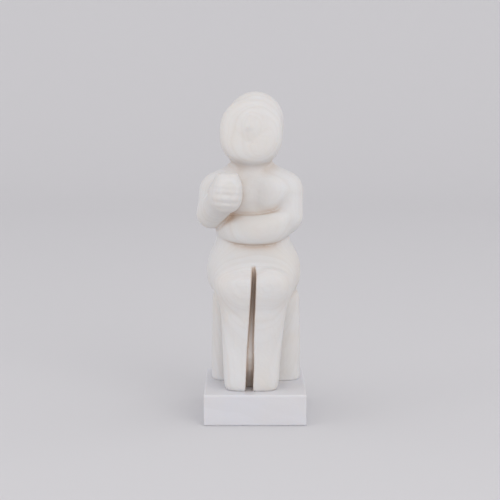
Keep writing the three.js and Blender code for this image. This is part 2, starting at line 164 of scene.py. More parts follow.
@dataclass(frozen=True)
class Ellipsoid:
    """Ellipsoid with its axes along x, y and z."""

    centre: Point
    radii: Point

    def distance(self, p: Points) -> Distances:
        """Distances from ``p`` to the ellipsoid's surface, negative inside."""
        q = p - np.asarray(self.centre)
        r = np.asarray(self.radii)
        k0 = np.linalg.norm(q / r, axis=1)
        k1 = np.linalg.norm(q / (r * r), axis=1)
        return k0 * (k0 - 1.0) / np.maximum(k1, 1e-9)


@dataclass(frozen=True)
class SquaredEllipsoid:
    """Ellipsoid with fuller, squarer shoulders as ``squareness`` grows past 2."""

    centre: Point
    radii: Point
    squareness: float

    def distance(self, p: Points) -> Distances:
        """Distances from ``p`` to the form's surface, negative inside."""
        n = self.squareness
        r = np.asarray(self.radii)
        u = np.abs((p - np.asarray(self.centre)) / r) + 1e-9
        k = (u**n).sum(axis=1) ** (1.0 / n)
        steepness = np.sqrt(((u ** (n - 1) / r) ** 2).sum(axis=1)) * k ** (1.0 - n)
        return (k - 1.0) / np.maximum(steepness, 1e-9)


@dataclass(frozen=True)
class Limb:
    """Cone with ball ends."""

    start: Point
    end: Point
    radii: tuple[float, float]

    def distance(self, p: Points) -> Distances:
        """Distances from ``p`` to the limb's surface, negative inside."""
        ra, rb = self.radii
        a = np.asarray(self.start, float)
        axis = np.asarray(self.end, float) - a
        q = p - a
        l2 = float(axis @ axis)
        rr = ra - rb
        a2 = l2 - rr * rr
        along = q @ axis
        past = along - l2
        x2 = ((q * l2 - along[:, None] * axis) ** 2).sum(axis=1)
        y2 = along * along * l2
        z2 = past * past * l2
        k = math.copysign(rr * rr, rr) * x2
        side = (np.sqrt(x2 * a2 / l2) + along * rr) / l2 - ra
        near = np.sqrt(x2 + y2) / l2 - ra
        far = np.sqrt(x2 + z2) / l2 - rb
        beyond_far = np.sign(past) * a2 * z2 > k
        before_near = np.sign(along) * a2 * y2 < k
        return np.where(beyond_far, far, np.where(before_near, near, side))


class Sweep(Enum):
    """Axis that a loft is swept along, as its column in a point."""

    FRONT_TO_BACK = 1
    UPRIGHT = 2


@dataclass(frozen=True)
class Loft:
    """Squared-ellipse section swept through a list of sections.

    Each section is (position along the sweep, centre a, centre b, half size a, half size b), where
    a and b are the two other axes in the order x, y, z.
    """

    sections: tuple[tuple[float, float, float, float, float], ...]
    squareness: float
    sweep: Sweep = Sweep.UPRIGHT

    def distance(self, p: Points) -> Distances:
        """Distances from ``p`` to the loft's side, negative inside; the ends are open."""
        stations, *columns = zip(*self.sections)
        centre_a, centre_b, half_a, half_b = (SmoothCurve(stations, c) for c in columns)
        along = p[:, self.sweep.value]
        a, b = (p[:, axis] for axis in (0, 1, 2) if axis != self.sweep.value)
        flare = half_a.at(along + 0.5) - half_a.at(along - 0.5)
        d = squared_ellipse(
            a - centre_a.at(along),
            b - centre_b.at(along),
            half_a.at(along),
            half_b.at(along),
            self.squareness,
        )
        return d / np.sqrt(1.0 + np.clip(flare, -2.0, 2.0) ** 2)

    @property
    def first(self) -> float:
        """Position of the first section along the sweep."""
        return self.sections[0][0]

    @property
    def last(self) -> float:
        """Position of the last section along the sweep."""
        return self.sections[-1][0]


# --------------------------------------------------------------------------- the carving


@dataclass(frozen=True)
class LowerBody:
    """Stool, shins, and the hips and thighs that lie on them."""

    stool: Loft = Loft(
        sections=(
            (-1, 2.1, 12.2, 23.2, 12.6),
            (8, 2.1, 12.2, 23.3, 12.7),
            (30, 2.1, 12.0, 23.1, 12.5),
            (49, 2.0, 11.5, 22.6, 12.0),
        ),
        squareness=3.4,
    )
    stool_top_round: float = 7.0
    shins: Loft = Loft(
        sections=(
            (-1.2, -0.4, -15.0, 13.4, 8.2),
            (5, -0.35, -14.9, 14.1, 8.2),
            (12, -0.25, -14.3, 14.5, 7.9),
            (22, 0.0, -13.6, 15.2, 7.5),
            (36, 0.5, -13.4, 16.3, 7.9),
            (46, 0.7, -13.2, 17.6, 8.6),
            (58, 0.7, -12.5, 19.2, 9.5),
        ),
        squareness=2.9,
    )
    foot_round: float = 4.0
    shin_top_round: float = 6.0
    seat: Loft = Loft(
        sections=(
            (-22.2, 0.6, 53.4, 17.9, 9.2),
            (-16, 0.6, 53.7, 19.1, 11.0),
            (-8, 0.8, 55.5, 21.4, 13.2),
            (0, 0.9, 56.7, 23.1, 15.4),
            (8, 1.0, 57.2, 23.9, 17.0),
            (16, 1.0, 57.9, 22.9, 16.9),
            (25, 1.0, 58.5, 20.5, 15.0),
        ),
        squareness=2.5,
        sweep=Sweep.FRONT_TO_BACK,
    )
    knee_round: float = 10.0
    knees: tuple[Ellipsoid, ...] = (
        Ellipsoid((-5.6, -19.6, 50.6), (6.4, 3.1, 7)),
        Ellipsoid((9.8, -19.2, 54.4), (7.6, 3.1, 8)),
    )
    back_dome: Ellipsoid = Ellipsoid((1, -10, 59), (42, 34.6, 36))
    back_round: float = 10.0
    knee_join: float = 3.0
    shin_join: float = 5.0
    stool_join: float = 1.2

    def distance(self, p: Points) -> Distances:
        """Distances from ``p`` to the lower body, negative inside."""
        y, z = p[:, 1], p[:, 2]
        stool = soft_max(self.stool.distance(p), z - self.stool.last, self.stool_top_round)
        shins = soft_max(self.shins.distance(p), z - self.shins.last, self.shin_top_round)
        shins = soft_max(shins, self.shins.first - z, self.foot_round)
        seat = soft_max(self.seat.distance(p), self.seat.first - y, self.knee_round)
        seat = soft_max(seat, self.back_dome.distance(p), self.back_round)
        for knee in self.knees:
            seat = soft_min(seat, knee.distance(p), self.knee_join)
        return soft_min(soft_min(seat, shins, self.shin_join), stool, self.stool_join)


@dataclass(frozen=True)
class Trunk:
    """Chest and belly, shoulders and neck."""

    torso: Loft = Loft(
        sections=(
            (56, 0.7, 7.2, 20.7, 14.0),
            (66, 0.4, 6.8, 19.9, 13.0),
            (74, 0.4, 6.4, 18.9, 12.0),
            (86, 0.2, 6.0, 19.3, 11.2),
            (98, -0.2, 6.0, 19.6, 11.0),
            (105, 0.1, 6.2, 18.3, 10.2),
            (111, 0.2, 6.8, 14.2, 9.3),
        ),
        squareness=2.35,
    )
    hip_round: float = 6.0
    top_round: float = 9.0
    breasts: tuple[Ellipsoid, ...] = (
        Ellipsoid((8.7, -2.2, 98.8), (7.0, 4.2, 7.6)),
        Ellipsoid((-5.8, -2.2, 98.8), (7.0, 4.2, 7.6)),
    )
    right_shoulder: Limb = Limb((-17.0, 5.4, 99.8), (-8, 6.4, 103.0), (9.8, 10.4))
    left_shoulder: Limb = Limb((16.5, 5.4, 100.2), (8, 6.4, 103.2), (9.7, 10.4))
    neck: Limb = Limb((-0.7, 7, 108), (-0.2, 5.6, 121), (10.6, 10.2))
    breast_join: float = 4.0
    waist_join: float = 7.0
    collar_join: float = 6.0
    shoulder_join: float = 4.0
    neck_join: float = 4.0

    def join(self, body: Distances, p: Points) -> Distances:
        """Adds the trunk to a body.

        Args:
            body: Distances to what is carved so far.
            p: The points that the distances are for.

        Returns:
            Distances to the body with its trunk.
        """
        z = p[:, 2]
        torso = soft_max(self.torso.distance(p), z - self.torso.last, self.top_round)
        torso = soft_max(torso, self.torso.first - z, self.hip_round)
        for breast in self.breasts:
            torso = soft_min(torso, breast.distance(p), self.breast_join)
        right, left = self.right_shoulder.distance(p), self.left_shoulder.distance(p)
        body = soft_min(body, torso, self.waist_join)
        body = soft_min(body, soft_min(right, left, self.collar_join), self.shoulder_join)
        return soft_min(body, self.neck.distance(p), self.neck_join)


@dataclass(frozen=True)
class FistAndCup:
    """Right fist with its fingers parted by shallow valleys, closed round a small cup."""

    centre: Point = (-12.6, -18.0, 101.2)
    radii: Point = (7.7, 8.3, 9.7)
    squareness: float = 2.5
    lean: float = 4.0
    valleys: tuple[tuple[float, float], ...] = (
        (-7.4, 0.5),
        (-4.4, 0.75),
        (-0.5, 0.5),
        (2.5, 0.38),
        (5.2, 0.3),
    )
    valley_width: float = 0.9
    cup: Limb = Limb((-12.5, -17.2, 102), (-12.5, -17.2, 107.6), (6.4, 6.1))
    rim: float = 110.9
    dish: float = 7.2

    def distance(self, p: Points) -> Distances:
        """Distances from ``p`` to the fist and cup, negative inside."""
        q = p - np.asarray(self.centre)
        cos, sin = math.cos(math.radians(self.lean)), math.sin(math.radians(self.lean))
        across = cos * q[:, 0] - sin * q[:, 2]
        up = sin * q[:, 0] + cos * q[:, 2]
        bearing = np.arctan2(across, -q[:, 1])
        front = np.maximum(1.0 - np.abs(bearing + 0.1) / 1.35, 0.0) ** 0.7
        valley = sum(d * np.exp(-(((up - h) / self.valley_width) ** 2)) for h, d in self.valleys)
        block = SquaredEllipsoid((0, 0, 0), self.radii, self.squareness)
        hand = block.distance(np.column_stack([across, q[:, 1], up])) + valley * front
        rimmed = soft_max(self.cup.distance(p), p[:, 2] - self.rim, 0.8)
        bowl_centre = (*self.cup.end[:2], self.rim + self.dish - 1.5)
        bowl = np.linalg.norm(p - np.asarray(bowl_centre), axis=1) - self.dish
        return soft_min(hand, soft_max(rimmed, -bowl, 0.5), 0.8)


@dataclass(frozen=True)
class Arms:
    """Left forearm laid across the belly, right forearm raised to the fist."""

    left_upper: Limb = Limb((17.4, 4.6, 98.4), (19.5, 1.8, 86.8), (8.9, 6.9))
    right_upper: Limb = Limb((-18.4, 4.4, 98.4), (-20.9, 0.2, 88.4), (8.9, 7.3))
    right_forearm: Limb = Limb((-20.4, -1.2, 88.8), (-14.6, -15, 98.4), (7.5, 7.6))
    fist: FistAndCup = FistAndCup()
    waist_centre: tuple[float, float] = (0.6, 5.0)
    waist_radii: tuple[float, float] = (16.2, 11.0)
    waist_squareness: float = 2.2
    roll_squareness: float = 2.3
    roll_back: float = 5.5
    roll_x: tuple[float, ...] = (-20, -8, 4, 13, 20)
    roll_height: tuple[float, ...] = (81.6, 80.9, 80.8, 82.2, 84.8)
    roll_half_height: tuple[float, ...] = (5.4, 7.3, 7.8, 8.2, 8.0)
    roll_half_thickness: tuple[float, ...] = (3.4, 5.0, 5.6, 6.0, 6.2)
    left_elbow_join: float = 4.0
    left_body_join: float = 1.0
    right_elbow_join: float = 2.0
    wrist_join: float = 4.0
    right_body_join: float = 1.5

    def left_forearm(self, p: Points) -> Distances:
        """Distances from ``p`` to the forearm's roll, swept round the waist."""
        x = p[:, 0]
        from_waist = squared_ellipse(
            x - self.waist_centre[0],
            p[:, 1] - self.waist_centre[1],
            self.waist_radii[0],
            self.waist_radii[1],
            self.waist_squareness,
        )
        roll = squared_ellipse(
            from_waist,
            p[:, 2] - SmoothCurve(self.roll_x, self.roll_height).at(x),
            SmoothCurve(self.roll_x, self.roll_half_thickness).at(x),
            SmoothCurve(self.roll_x, self.roll_half_height).at(x),
            self.roll_squareness,
        )
        return soft_max(roll, p[:, 1] - self.roll_back, 4.0)

    def join(self, body: Distances, p: Points) -> Distances:
        """Adds both arms to a body.

        Args:
            body: Distances to what is carved so far.
            p: The points that the distances are for.

        Returns:
            Distances to the body with its arms.
        """
        left = soft_min(self.left_upper.distance(p), self.left_forearm(p), self.left_elbow_join)
        upper, forearm = self.right_upper.distance(p), self.right_forearm.distance(p)
        elbow = soft_min(upper, forearm, self.right_elbow_join)
        right = soft_min(elbow, self.fist.distance(p), self.wrist_join)
        return soft_min(soft_min(body, left, self.left_body_join), right, self.right_body_join)


@dataclass(frozen=True)
class Head:
    """Flattened face tipped back, with the rounder skull behind its sloping upper edge."""

    centre: Point = (0, 1.5, 132.4)
    tip_back: float = 15.0
    turn: float = -6.0
    face: SquaredEllipsoid = SquaredEllipsoid((-0.3, -0.2, -2.6), (16.2, 12, 17.2), 2.3)
    face_flat: float = 8.4
    brow_apex: Point = (0.2, -8.4, 15.4)
    brow_slope: float = 46.0
    brow_normals: tuple[tuple[float, float], ...] = ((-0.28, 0.96), (0.74, 0.67))
    skull: Ellipsoid = Ellipsoid((0.9, 4.2, 3.6), (15.0, 11.2, 16.0))
    nose_mound: Ellipsoid = Ellipsoid((-0.6, -7.5, 0.6), (5.2, 2.0, 6.6))
    nose: Limb = Limb((-0.6, -8.3, 4.5), (-0.6, -8.7, -1.4), (0.8, 1.5))
    mouth_y: float = -8.9
    mouth_z: float = -9.0
    mouth_radius: float = 0.8
    mouth_stretch: float = 0.3

    def brow(self, q: Points, normal: tuple[float, float]) -> Distances:
        """Distances from one sloping plane of the brow.

        Args:
            q: Points in the head's own frame.
            normal: The plane's outward direction as seen from the front, (x, z).

        Returns:
            Signed distances, positive outside the plane.
        """
        slope = math.radians(self.brow_slope)
        nx, nz = np.asarray(normal) / math.hypot(*normal)
        direction = np.array([nx * math.cos(slope), -math.sin(slope), nz * math.cos(slope)])
        return (q - np.asarray(self.brow_apex)) @ direction

    def distance(self, p: Points) -> Distances:
        """Distances from ``p`` to the head, negative inside."""
        turn = Matrix.Rotation(math.radians(self.turn), 3, "Z")
        tip = Matrix.Rotation(math.radians(-self.tip_back), 3, "X")
        q = (p - np.asarray(self.centre)) @ np.array(turn @ tip)
        flat = soft_max(self.face.distance(q), -q[:, 1] - self.face_flat, 5.0)
        left, right = (self.brow(q, normal) for normal in self.brow_normals)
        face = soft_max(flat, soft_max(left, right, 0.8), 1.4)
        head = soft_min(face, self.skull.distance(q), 1.0)
        head = soft_min(head, self.nose_mound.distance(q), 2.4)
        head = soft_min(head, self.nose.distance(q), 1.8)
        stretched = q * (self.mouth_stretch, 1, 1) - (0, self.mouth_y, self.mouth_z)
        mouth = np.linalg.norm(stretched, axis=1)
        return soft_max(head, self.mouth_radius - mouth, 0.8)


@dataclass(frozen=True)
class LegSlot:
    """Slot that parts the legs, open to the front: its walls and its back by height."""

    top: float = 64.0
    left_wall: tuple[tuple[float, float], ...] = ((0, -3.4), (20, -2.55), (42, -1.1), (64, 0.2))
    right_wall: tuple[tuple[float, float], ...] = (
        (0, 0.4),
        (12, 0.85),
        (26, 0.75),
        (53, 1.8),
        (60, 1.9),
        (65, 0.9),
    )
    back: tuple[tuple[float, float], ...] = (
        (0, -13),
        (4, -14),
        (10, -17.4),
        (17, -18.8),
        (30, -17.2),
        (44, -16),
        (60, -17.2),
        (65, -16),
    )
    edge_round: float = 1.0

    def cut(self, body: Distances, p: Points) -> Distances:
        """Takes the slot out of a body.

        Args:
            body: Distances to what is carved so far.
            p: The points that the distances are for.

        Returns:
            Distances to the body with its slot.
        """
        z = p[:, 2]
        left, right, back = (
            np.interp(z, *zip(*table)) for table in (self.left_wall, self.right_wall, self.back)
        )
        across = np.abs(p[:, 0] - (left + right) / 2) - (right - left) / 2
        slot = np.maximum(np.maximum(across, p[:, 1] - back), z - self.top)
        return soft_max(body, -slot, self.edge_round)


@dataclass(frozen=True)
class Carving:
    """The whole carved block, in its own frame."""

    lower: LowerBody = LowerBody()
    trunk: Trunk = Trunk()
    arms: Arms = Arms()
    head: Head = Head()
    slot: LegSlot = LegSlot()
    chin_join: float = 3.0

    def distance(self, p: Points) -> Distances:
        """Distances from ``p`` to the stone, negative inside; below the sole it is open."""
        body = self.lower.distance(p)
        body = self.trunk.join(body, p)
        body = self.arms.join(body, p)
        body = soft_min(body, self.head.distance(p), self.chin_join)
        return self.slot.cut(body, p)


# --------------------------------------------------------------------------- meshing a field


@dataclass
class FieldMesher:
    """Meshes a distance field as a closed shell that stands on a flat sole at z = 0.

    There is one vertex for each sheet of surface in a cell, and one quad across every grid edge
    that the surface cuts. Corners of a cell are numbered by bits: 1 for high x, 2 for high y and 4
    for high z. Its edges are numbered by axis times 4, plus 1 and 2 for the high side of the next
    two axes.
    """

    distance: Callable[[Points], Distances]
    low: Point
    high: Point
    cell: float
    margin: float = 0.08
    faces: tuple[tuple[int, ...], ...] = (
        (0, 2, 6, 4),
        (1, 3, 7, 5),
        (0, 1, 5, 4),
        (2, 3, 7, 6),
        (0, 1, 3, 2),
        (4, 5, 7, 6),
    )
    vertices: Points = field(init=False, repr=False)
    quads: np.ndarray = field(init=False, repr=False)

    @staticmethod
    def edge_corners(edge: int) -> tuple[int, int]:
        """Numbers of the two corners at the ends of a cell's edge."""
        axis, side = divmod(edge, 4)
        low = ((side & 1) << ((axis + 1) % 3)) | ((side >> 1) << ((axis + 2) % 3))
        return low, low | (1 << axis)

    def sheet_table(self) -> np.ndarray:
        """Sorts a cell's crossed edges into sheets for every pattern of corners.

        Returns:
            A 256 by 12 table of sheet numbers, by pattern and edge.
        """
        edge_of = {frozenset(self.edge_corners(edge)): edge for edge in range(12)}
        table = np.zeros((256, 12), int)
        for pattern in range(256):
            inside = [(pattern >> corner) & 1 for corner in range(8)]
            sheet = list(range(12))
            for face in self.faces:
                for p in range(4):
                    before = face[p - 1]
                    if not inside[face[p]] or inside[before]:
                        continue
                    q = p
                    while inside[face[(q + 1) % 4]]:
                        q += 1
                    first = sheet[edge_of[frozenset((before, face[p]))]]
                    last = sheet[edge_of[frozenset((face[q % 4], face[(q + 1) % 4]))]]
                    sheet = [first if number == last else number for number in sheet]
            crossed = [e for e in range(12) if len({inside[c] for c in self.edge_corners(e)}) == 2]
            order = sorted({sheet[edge] for edge in crossed})
            for edge in crossed:
                table[pattern, edge] = order.index(sheet[edge])
        return table

    def sample(self) -> tuple[list[np.ndarray], np.ndarray]:
        """Reads the field at every node of the grid.

        Returns:
            The grid's planes along x, y and z, and the distances at its nodes.
        """
        planes = [
            np.arange(low, high + self.cell, self.cell) for low, high in zip(self.low, self.high)
        ]
        grid = np.stack(np.meshgrid(*planes, indexing="ij"), axis=-1).reshape(-1, 3)
        values = np.concatenate([self.distance(part) for part in np.array_split(grid, 24)])
        values[grid[:, 2] < 0] = 1.0
        return planes, values.reshape([len(p) for p in planes])

    def settle(self, start: Points, low: Points, high: Points) -> Points:
        """Moves points onto the surface, each inside its own box.

        Args:
            start: The points.
            low: Lowest corner of each point's box.
            high: Highest corner of each point's box.

        Returns:
            The moved points.
        """
        free = low < high
        point = start.copy()
        for _ in range(3):
            d = self.distance(point)
            g = self.gradient(point) * free
            g2 = np.maximum((g * g).sum(axis=1), 1e-4)
            point = np.clip(point - (d / g2)[:, None] * g, low, high)
        return point

    def gradient(self, p: Points, step: float = 0.05) -> Points:
        """Gradient of the field by central differences.

        Args:
            p: The points.
            step: Half the spacing of the two readings along each axis.

        Returns:
            One vector for each point.
        """
        columns = []
        for axis in range(3):
            offset = np.zeros(3)
            offset[axis] = step
            columns.append((self.distance(p + offset) - self.distance(p - offset)) / (2 * step))
        return np.stack(columns, axis=1)

    @staticmethod
    def patterns(inside: np.ndarray) -> np.ndarray:
        """Packs which corners of each cell are in the stone into one number.

        Args:
            inside: Whether each node of the grid is in the stone.

        Returns:
            A number for each cell, at the cell's lowest node.
        """
        pattern = np.zeros(inside.shape, np.int32)
        nx, ny, nz = (size - 1 for size in inside.shape)
        for corner in range(8):
            dx, dy, dz = corner & 1, (corner >> 1) & 1, corner >> 2
            part = inside[dx : nx + dx, dy : ny + dy, dz : nz + dz]
            pattern[:-1, :-1, :-1] |= part.astype(np.int32) << corner
        return pattern

    def cut_edges(
        self, planes: list[np.ndarray], values: np.ndarray, axis: int
    ) -> tuple[np.ndarray, Points, np.ndarray]:
        """Finds the grid edges along one axis that the surface cuts.

        Args:
            planes: The grid's planes along x, y and z.
            values: The distances at its nodes.
            axis: The axis.

        Returns:
            Each edge's lower node, where it is cut, and whether that node is in the stone.
        """
        node = np.argwhere(np.diff(values < 0, axis=axis))
        near = values[tuple(node.T)]
        far = values[tuple((node + np.eye(3, dtype=int)[axis]).T)]
        point = np.stack([planes[c][node[:, c]] for c in range(3)], axis=1)
        point[:, axis] += self.cell * near / (near - far)
        return node, point, near < 0

    def build(self) -> None:
        """Fills ``vertices`` and ``quads``."""
        planes, values = self.sample()
        strides = np.array([values.shape[1] * values.shape[2], values.shape[2], 1])
        pattern, sheets = self.patterns(values < 0).ravel(), self.sheet_table()
        step = np.eye(3, dtype=int)
        owners: list[np.ndarray] = []
        crossings: list[np.ndarray] = []
        quads: list[np.ndarray] = []
        for axis in range(3):
            node, point, outward = self.cut_edges(planes, values, axis)
            corners = []
            for s, t in ((1, 1), (0, 1), (0, 0), (1, 0)):
                cell = (node - s * step[(axis + 1) % 3] - t * step[(axis + 2) % 3]) @ strides
                corners.append(cell * 4 + sheets[pattern[cell], axis * 4 + s + 2 * t])
            quad = np.stack(corners, axis=1)
            quads.append(np.where(outward[:, None], quad, quad[:, ::-1]))
            owners += corners
            crossings += [point] * len(corners)
        keys, vertex = np.unique(np.concatenate(owners), return_inverse=True)
        every = np.concatenate(crossings)
        count = np.bincount(vertex)
        mean = np.stack([np.bincount(vertex, every[:, c]) / count for c in range(3)], axis=1)
        cell = np.stack(np.unravel_index(keys // 4, values.shape), axis=1)
        base = np.stack([planes[c][cell[:, c]] for c in range(3)], axis=1)
        low, high = base + self.margin * self.cell, base + (1 - self.margin) * self.cell
        sole = cell[:, 2] == 0
        for points in (mean, low, high):
            points[sole, 2] = 0.0
        self.vertices = self.settle(mean, low, high)
        deep = sole & (self.distance(mean) < -self.cell)
        self.vertices[deep] = mean[deep]
        self.quads = np.searchsorted(keys, np.concatenate(quads))

    def painted_shade(self, reaches: Sequence[float]) -> Distances:
        """How shut in each vertex is by the stone around it, which sets how much painted shade the
        marble gets there.

        Args:
            reaches: Distances out from the surface at which the room is tested.

        Returns:
            0 where the surface is open, towards 1 deep inside a hollow.
        """
        normals = self.gradient(self.vertices)
        normals /= np.maximum(np.linalg.norm(normals, axis=1), 1e-6)[:, None]
        shut = np.zeros(len(self.vertices))
        for reach in reaches:
            room = self.distance(self.vertices + normals * reach)
            shut += np.clip(1.0 - room / reach, 0.0, 1.0)
        return shut / len(reaches)


# --------------------------------------------------------------------------- node helpers


class NodeSheet:
    """Adds and links nodes in one tree."""

    def __init__(self, tree: bpy.types.NodeTree) -> None:
        """Takes the tree to write in.

        Args:
            tree: A shader or geometry node tree.
        """
        self.tree = tree

    def add(self, kind: str, label: str = "", **settings: object) -> bpy.types.Node:
        """Adds a node.

        Args:
            kind: The node's type name.
            label: What the node is for.
            **settings: Properties to set on it.

        Returns:
            The new node.
        """
        node = self.tree.nodes.new(kind)
        node.label = label
        for name, value in settings.items():
            setattr(node, name, value)
        return node

    def feed(self, socket: bpy.types.NodeSocket, source: object) -> None:
        """Gives a socket its source.

        Args:
            socket: The input socket.
            source: An output socket to link, or a plain value to set.
        """
        if isinstance(source, bpy.types.NodeSocket):
            self.tree.links.new(source, socket)
        else:
            socket.default_value = source

    def math(self, operation: str, *sources: object) -> bpy.types.NodeSocket:
        """Adds a Math node.

        Args:
            operation: The node's operation.
            *sources: Its inputs in order.

        Returns:
            The node's output.
        """
        node = self.add("ShaderNodeMath", operation=operation)
        for socket, source in zip(node.inputs, sources):
            self.feed(socket, source)
        return node.outputs[0]

    def vector(self, operation: str, *sources: object) -> bpy.types.NodeSocket:
        """Adds a Vector Math node.

        Args:
            operation: The node's operation.
            *sources: Its vector inputs in order.

        Returns:
            The node's Value output for a dot product, otherwise its Vector output.
        """
        node = self.add("ShaderNodeVectorMath", operation=operation)
        for socket, source in zip(node.inputs, sources):
            self.feed(socket, source)
        return node.outputs["Value" if operation == "DOT_PRODUCT" else "Vector"]

    def scale(self, vector: object, factor: object) -> bpy.types.NodeSocket:
        """Adds a Vector Math node that scales a vector.

        Args:
            vector: The vector.
            factor: The number to scale it by.

        Returns:
            The node's Vector output.
        """
        node = self.add("ShaderNodeVectorMath", operation="SCALE")
        self.feed(node.inputs["Vector"], vector)
        self.feed(node.inputs["Scale"], factor)
        return node.outputs["Vector"]

    def remap(self, value: object, low: float, high: float) -> bpy.types.NodeSocket:
        """Adds a smooth Map Range node whose result goes from 0 to 1.

        Args:
            value: The value to remap.
            low: Where the result starts to rise.
            high: Where it has risen.

        Returns:
            The node's output.
        """
        node = self.add("ShaderNodeMapRange", interpolation_type="SMOOTHSTEP")
        for name, source in (("Value", value), ("From Min", low), ("From Max", high)):
            self.feed(node.inputs[name], source)
        return node.outputs["Result"]

    def noise(self, label: str, dimensions: str = "3D", **inputs: object) -> bpy.types.NodeSocket:
        """Adds a Noise Texture node.

        Args:
            label: What the noise is for.
            dimensions: How many dimensions it has.
            **inputs: Its inputs by name.

        Returns:
            The node's value.
        """
        node = self.add("ShaderNodeTexNoise", label, noise_dimensions=dimensions)
        for name, source in inputs.items():
            self.feed(node.inputs[name], source)
        return node.outputs["Fac"]

    def mix_colour(self, factor: object, a: object, b: object) -> bpy.types.NodeSocket:
        """Adds a Mix node for two colours.

        Args:
            factor: Share of the second colour.
            a: The first colour.
            b: The second colour.

        Returns:
            The mixed colour's output.
        """
        node = self.add("ShaderNodeMix", data_type="RGBA")
        self.feed(node.inputs["Factor"], factor)
        self.feed(node.inputs["A"], (*a, 1.0) if isinstance(a, tuple) else a)
        self.feed(node.inputs["B"], (*b, 1.0) if isinstance(b, tuple) else b)
        return node.outputs["Result"]


def new_group(
    name: str, inputs: dict[str, tuple[str, object]], outputs: dict[str, str]
) -> tuple[NodeSheet, bpy.types.Node, bpy.types.Node]:
    """Starts a shader node group with named sockets.

    Args:
        name: The group's name.
        inputs: Socket type and default value of each input, by name.
        outputs: Socket type of each output, by name.

    Returns:
        The group's sheet, its input node and its output node.
    """
    tree = bpy.data.node_groups.new(name, "ShaderNodeTree")
    for socket, (kind, default) in inputs.items():
        made = tree.interface.new_socket(socket, in_out="INPUT", socket_type=kind)
        made.default_value = default
    for socket, kind in outputs.items():
        tree.interface.new_socket(socket, in_out="OUTPUT", socket_type=kind)
    sheet = NodeSheet(tree)
    return sheet, sheet.add("NodeGroupInput"), sheet.add("NodeGroupOutput")


# --------------------------------------------------------------------------- finishes


class MarbleEffects:
    """Shader node groups that the marbles share."""

    def __init__(self) -> None:
        """Builds each group once."""
        self.layers = self.build_layers()
        self.clouds = self.build_clouds()
        self.grain = self.build_grain()

    @staticmethod
    def build_layers() -> bpy.types.NodeTree:
        """Builds the bedding layers of the stone, which show as contour rings on its curves.

        Returns:
            A group that puts out broad bands and thin lines.
        """
        sheet, inside, out = new_group(
            "stone_layers",
            {
                "Vector": ("NodeSocketVector", (0, 0, 0)),
                "Direction": ("NodeSocketVector", (0, -1, 0)),
                "Spacing": ("NodeSocketFloat", 0.003),
                "Wander": ("NodeSocketFloat", 0.002),
            },
            {"Bands": "NodeSocketFloat", "Lines": "NodeSocketFloat"},
        )
        place = inside.outputs["Vector"]
        drift = sheet.noise("slow drift of the layers", Vector=place, Scale=38.0, Detail=2.0)
        centred = sheet.math("SUBTRACT", drift, 0.5)
        depth = sheet.vector("DOT_PRODUCT", place, inside.outputs["Direction"])
        wandered = sheet.math("MULTIPLY_ADD", centred, inside.outputs["Wander"], depth)
        level = sheet.math("DIVIDE", wandered, inside.outputs["Spacing"])
        bands = sheet.noise("broad bands", "1D", W=level, Scale=1.0, Detail=2.0)
        lines = sheet.noise("thin lines", "1D", W=level, Scale=3.1, Detail=3.0)
        sheet.feed(out.inputs["Bands"], sheet.remap(bands, 0.36, 0.64))
        sheet.feed(out.inputs["Lines"], sheet.remap(lines, 0.54, 0.70))
        return sheet.tree

    @staticmethod
    def build_clouds() -> bpy.types.NodeTree:
        """Builds soft patches of warmer and cooler stone.

        Returns:
            A group that puts out one mask.
        """
        sheet, inside, out = new_group(
            "stone_clouds",
            {
                "Vector": ("NodeSocketVector", (0, 0, 0)),
                "Size": ("NodeSocketFloat", 0.03),
                "Roughness": ("NodeSocketFloat", 0.5),
            },
            {"Mask": "NodeSocketFloat"},
        )
        patches = sheet.noise(
            "patches",
            Vector=inside.outputs["Vector"],
            Scale=sheet.math("DIVIDE", 1.0, inside.outputs["Size"]),
            Detail=4.0,
            Roughness=inside.outputs["Roughness"],
        )
        sheet.feed(out.inputs["Mask"], sheet.remap(patches, 0.38, 0.66))
        return sheet.tree

    @staticmethod
    def build_grain() -> bpy.types.NodeTree:
        """Builds the crystal grain and the faint unevenness left by hand rubbing.

        Returns:
            A group that puts out a height and a speckle mask.
        """
        sheet, inside, out = new_group(
            "stone_grain",
            {
                "Vector": ("NodeSocketVector", (0, 0, 0)),
                "Crystal": ("NodeSocketFloat", 0.0006),
                "Rubbing": ("NodeSocketFloat", 0.006),
            },
            {"Height": "NodeSocketFloat", "Speckle": "NodeSocketFloat"},
        )
        place = inside.outputs["Vector"]
        crystal, rubbing = (
            sheet.noise(
                label,
                Vector=place,
                Scale=sheet.math("DIVIDE", 1.0, inside.outputs[size]),
                Detail=detail,
            )
            for label, size, detail in (
                ("crystals", "Crystal", 3.0),
                ("hand rubbing", "Rubbing", 2.0),
            )
        )
        fine = sheet.math("MULTIPLY", crystal, 0.12)
        sheet.feed(out.inputs["Height"], sheet.math("ADD", rubbing, fine))
        sheet.feed(out.inputs["Speckle"], sheet.remap(crystal, 0.58, 0.78))
        return sheet.tree


